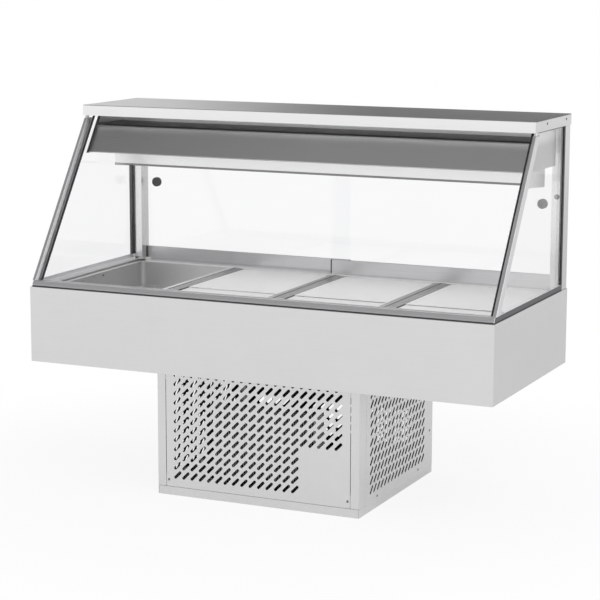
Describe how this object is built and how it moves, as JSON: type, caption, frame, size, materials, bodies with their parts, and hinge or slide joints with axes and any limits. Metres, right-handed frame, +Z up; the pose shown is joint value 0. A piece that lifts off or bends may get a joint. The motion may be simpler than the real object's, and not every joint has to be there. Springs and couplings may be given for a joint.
{
  "type": "refrigerated display case",
  "caption": "Refrigerated food display: cold well with deck trays under slanted glass, top shelf, rear sliding glass doors, vented machinery base.",
  "frame": {"origin": "centre of the case's footprint on the floor", "axes": "+X to the right along the customer front, +Y towards the operator's side, +Z up"},
  "size_m": [1.3578, 0.614, 1.039],
  "materials": {
    "casing_steel": "fine satin stainless sheet",
    "shelf_steel": "satin stainless sheet",
    "well_steel": "bright stainless sheet",
    "tray_steel": "bright stainless sheet",
    "panel_steel": "satin stainless sheet with slots",
    "galvanised": "plain galvanised sheet",
    "frame_aluminium": "satin anodised extrusion",
    "dark_aluminium": "dark anodised extrusion",
    "door_aluminium": "polished anodised extrusion",
    "clear_glass": "clear toughened glass",
    "black_rubber": "matte black rubber",
    "white_plastic": "white nylon",
    "black_plastic": "fine grained black plastic",
    "red_plastic": "glossy red plastic",
    "green_plastic": "glossy green plastic",
    "grey_plastic": "grey plastic",
    "opal_plastic": "opal diffuser plastic",
    "foam": "rigid foam",
    "copper": "bare copper tube",
    "brass_fitting": "nickel washed brass",
    "black_enamel": "black enamel",
    "fin_aluminium": "bare aluminium fins",
    "screw_steel": "bright zinc plated steel"
  },
  "bodies": {
    "case": {"base_tray": "galvanised", "base_frame": "panel_steel", "front_access_panel": "panel_steel", "side_vent_panels": "panel_steel", "rear_vent_panel": "panel_steel", "cable_gland": "black_plastic", "condenser_coil": "fin_aluminium", "fan_shroud": "galvanised", "fan_motor": "black_enamel", "compressor": "black_enamel", "compressor_mounts": "black_rubber", "terminal_cover": "grey_plastic", "evaporator_tube": "copper", "refrigerant_lines": "copper", "front_fascia": "casing_steel", "end_panels": "casing_steel", "body_rear_panel": "casing_steel", "underside_panel": "galvanised", "deck_frame": "well_steel", "well_liner": "well_steel", "insulation": "foam", "dividers": "well_steel", "drain_outlet": "brass_fitting", "drain_valve": "brass_fitting", "glazing_seals": "black_rubber", "corner_extrusions": "frame_aluminium", "front_glass_channel": "frame_aluminium", "front_glass": "clear_glass", "side_glasses": "clear_glass", "side_glass_strips": "dark_aluminium", "rear_posts": "casing_steel", "post_fixing": "grey_plastic", "shelf": "shelf_steel", "shelf_underside": "galvanised", "canopy": "shelf_steel", "lamp_housing": "casing_steel", "lamp_diffuser": "opal_plastic", "led_bar": "white_plastic", "door_tracks": "door_aluminium", "track_stops": "white_plastic", "control_plate": "casing_steel", "controller": "black_plastic", "switch_frames": "black_plastic", "panel_screws": "screw_steel"},
    "left_door": {"left_door_glass": "clear_glass", "left_door_rails": "door_aluminium", "left_door_pull": "grey_plastic"},
    "right_door": {"right_door_glass": "clear_glass", "right_door_rails": "door_aluminium", "right_door_pull": "grey_plastic"},
    "fan": {"fan_blade": "fin_aluminium"},
    "tray_1": {"deck_tray_1": "tray_steel"},
    "tray_2": {"deck_tray_2": "tray_steel"},
    "tray_3": {"deck_tray_3": "tray_steel"},
    "lever": {"valve_lever": "red_plastic"},
    "set_button": {"button_set": "grey_plastic"},
    "down_button": {"button_down": "grey_plastic"},
    "up_button": {"button_up": "grey_plastic"},
    "main_switch": {"main_rocker": "green_plastic"},
    "light_switch": {"light_rocker": "green_plastic"}
  },
  "joints": [
    {"name": "left_door_slide", "type": "slide", "parent": "case", "child": "left_door", "axis": [1, 0, 0], "range_m": [0, 0.59]},
    {"name": "right_door_slide", "type": "slide", "parent": "case", "child": "right_door", "axis": [1, 0, 0], "range_m": [-0.59, 0]},
    {"name": "fan_spin", "type": "hinge", "parent": "case", "child": "fan", "pos_m": [0, -0.1575, 0.127], "axis": [0, 1, 0], "continuous": true},
    {"name": "tray_1_lift", "type": "slide", "parent": "case", "child": "tray_1", "axis": [0, 0, 1], "range_m": [0, 0.05]},
    {"name": "tray_2_lift", "type": "slide", "parent": "case", "child": "tray_2", "axis": [0, 0, 1], "range_m": [0, 0.05]},
    {"name": "tray_3_lift", "type": "slide", "parent": "case", "child": "tray_3", "axis": [0, 0, 1], "range_m": [0, 0.05]},
    {"name": "valve_turn", "type": "hinge", "parent": "case", "child": "lever", "pos_m": [-0.605, 0.258, 0.3105], "axis": [0, 1, 0], "range_deg": [0, 90]},
    {"name": "set_press", "type": "slide", "parent": "case", "child": "set_button", "axis": [0, -1, 0], "range_m": [0, 0.0008], "stiffness_N_per_m": 500},
    {"name": "down_press", "type": "slide", "parent": "case", "child": "down_button", "axis": [0, -1, 0], "range_m": [0, 0.0008], "stiffness_N_per_m": 500},
    {"name": "up_press", "type": "slide", "parent": "case", "child": "up_button", "axis": [0, -1, 0], "range_m": [0, 0.0008], "stiffness_N_per_m": 500},
    {"name": "main_rock", "type": "hinge", "parent": "case", "child": "main_switch", "pos_m": [0.512, 0.2945, 0.398], "axis": [1, 0, 0], "range_deg": [0, 18]},
    {"name": "light_rock", "type": "hinge", "parent": "case", "child": "light_switch", "pos_m": [0.558, 0.2945, 0.398], "axis": [1, 0, 0], "range_deg": [0, 18]}
  ]
}
